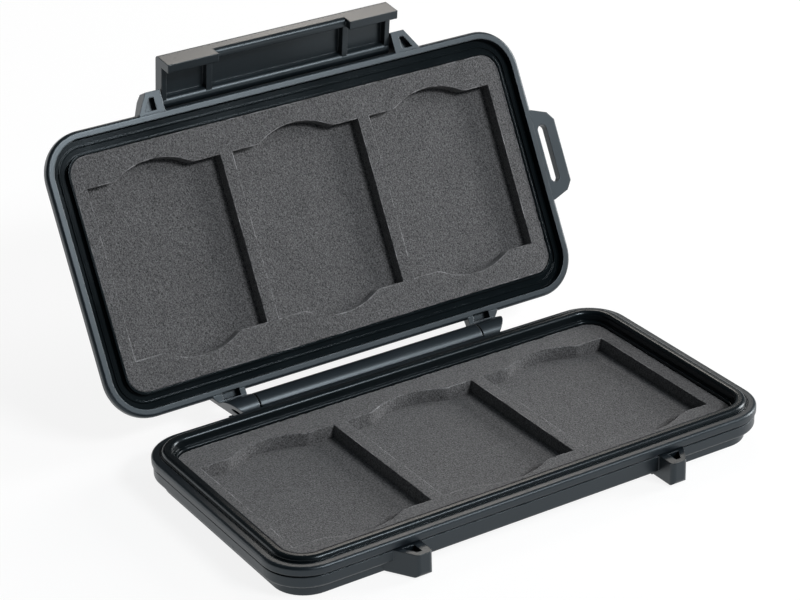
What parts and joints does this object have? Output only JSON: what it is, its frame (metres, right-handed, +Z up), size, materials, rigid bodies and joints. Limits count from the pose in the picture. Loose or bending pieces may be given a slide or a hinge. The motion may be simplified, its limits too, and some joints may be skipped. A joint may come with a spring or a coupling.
{
  "type": "memory card case",
  "caption": "Open hard-shell clamshell case for memory cards, with foam card pockets in base and lid, a rubber seal, a front latch and a lanyard loop.",
  "frame": {"origin": "centre of the base underside, on the surface that the case stands on", "axes": "+X to the right along the case, +Y to the hinge at the back, +Z up"},
  "size_m": [0.1435, 0.1267, 0.0861],
  "materials": {
    "shell": "satin black moulded polycarbonate",
    "liner": "smooth black rubber with a dull gloss",
    "foam": "matte charcoal closed-cell foam with a fine grain",
    "pin": "plain drawn steel"
  },
  "bodies": {
    "base": {"base_shell": "shell", "base_liner": "liner", "base_foam_backing": "foam", "base_foam_cutout": "foam"},
    "lid": {"lid_shell": "shell", "lid_liner": "liner", "lid_foam_backing": "foam", "lid_foam_cutout": "foam", "hinge_pin_left": "pin", "hinge_pin_right": "pin", "latch_pin_left": "pin", "latch_pin_right": "pin"},
    "latch_arm": {"latch": "shell"}
  },
  "joints": [
    {"name": "lid_hinge", "type": "hinge", "parent": "base", "child": "lid", "pos_m": [0, 0.04055, 0.00662], "axis": [-1, 0, 0], "range_deg": [-117.4, 0]},
    {"name": "latch_pivot", "type": "hinge", "parent": "lid", "child": "latch_arm", "pos_m": [0, 0.08207, 0.07351], "axis": [-1, 0, 0], "range_deg": [-55, 60]}
  ]
}
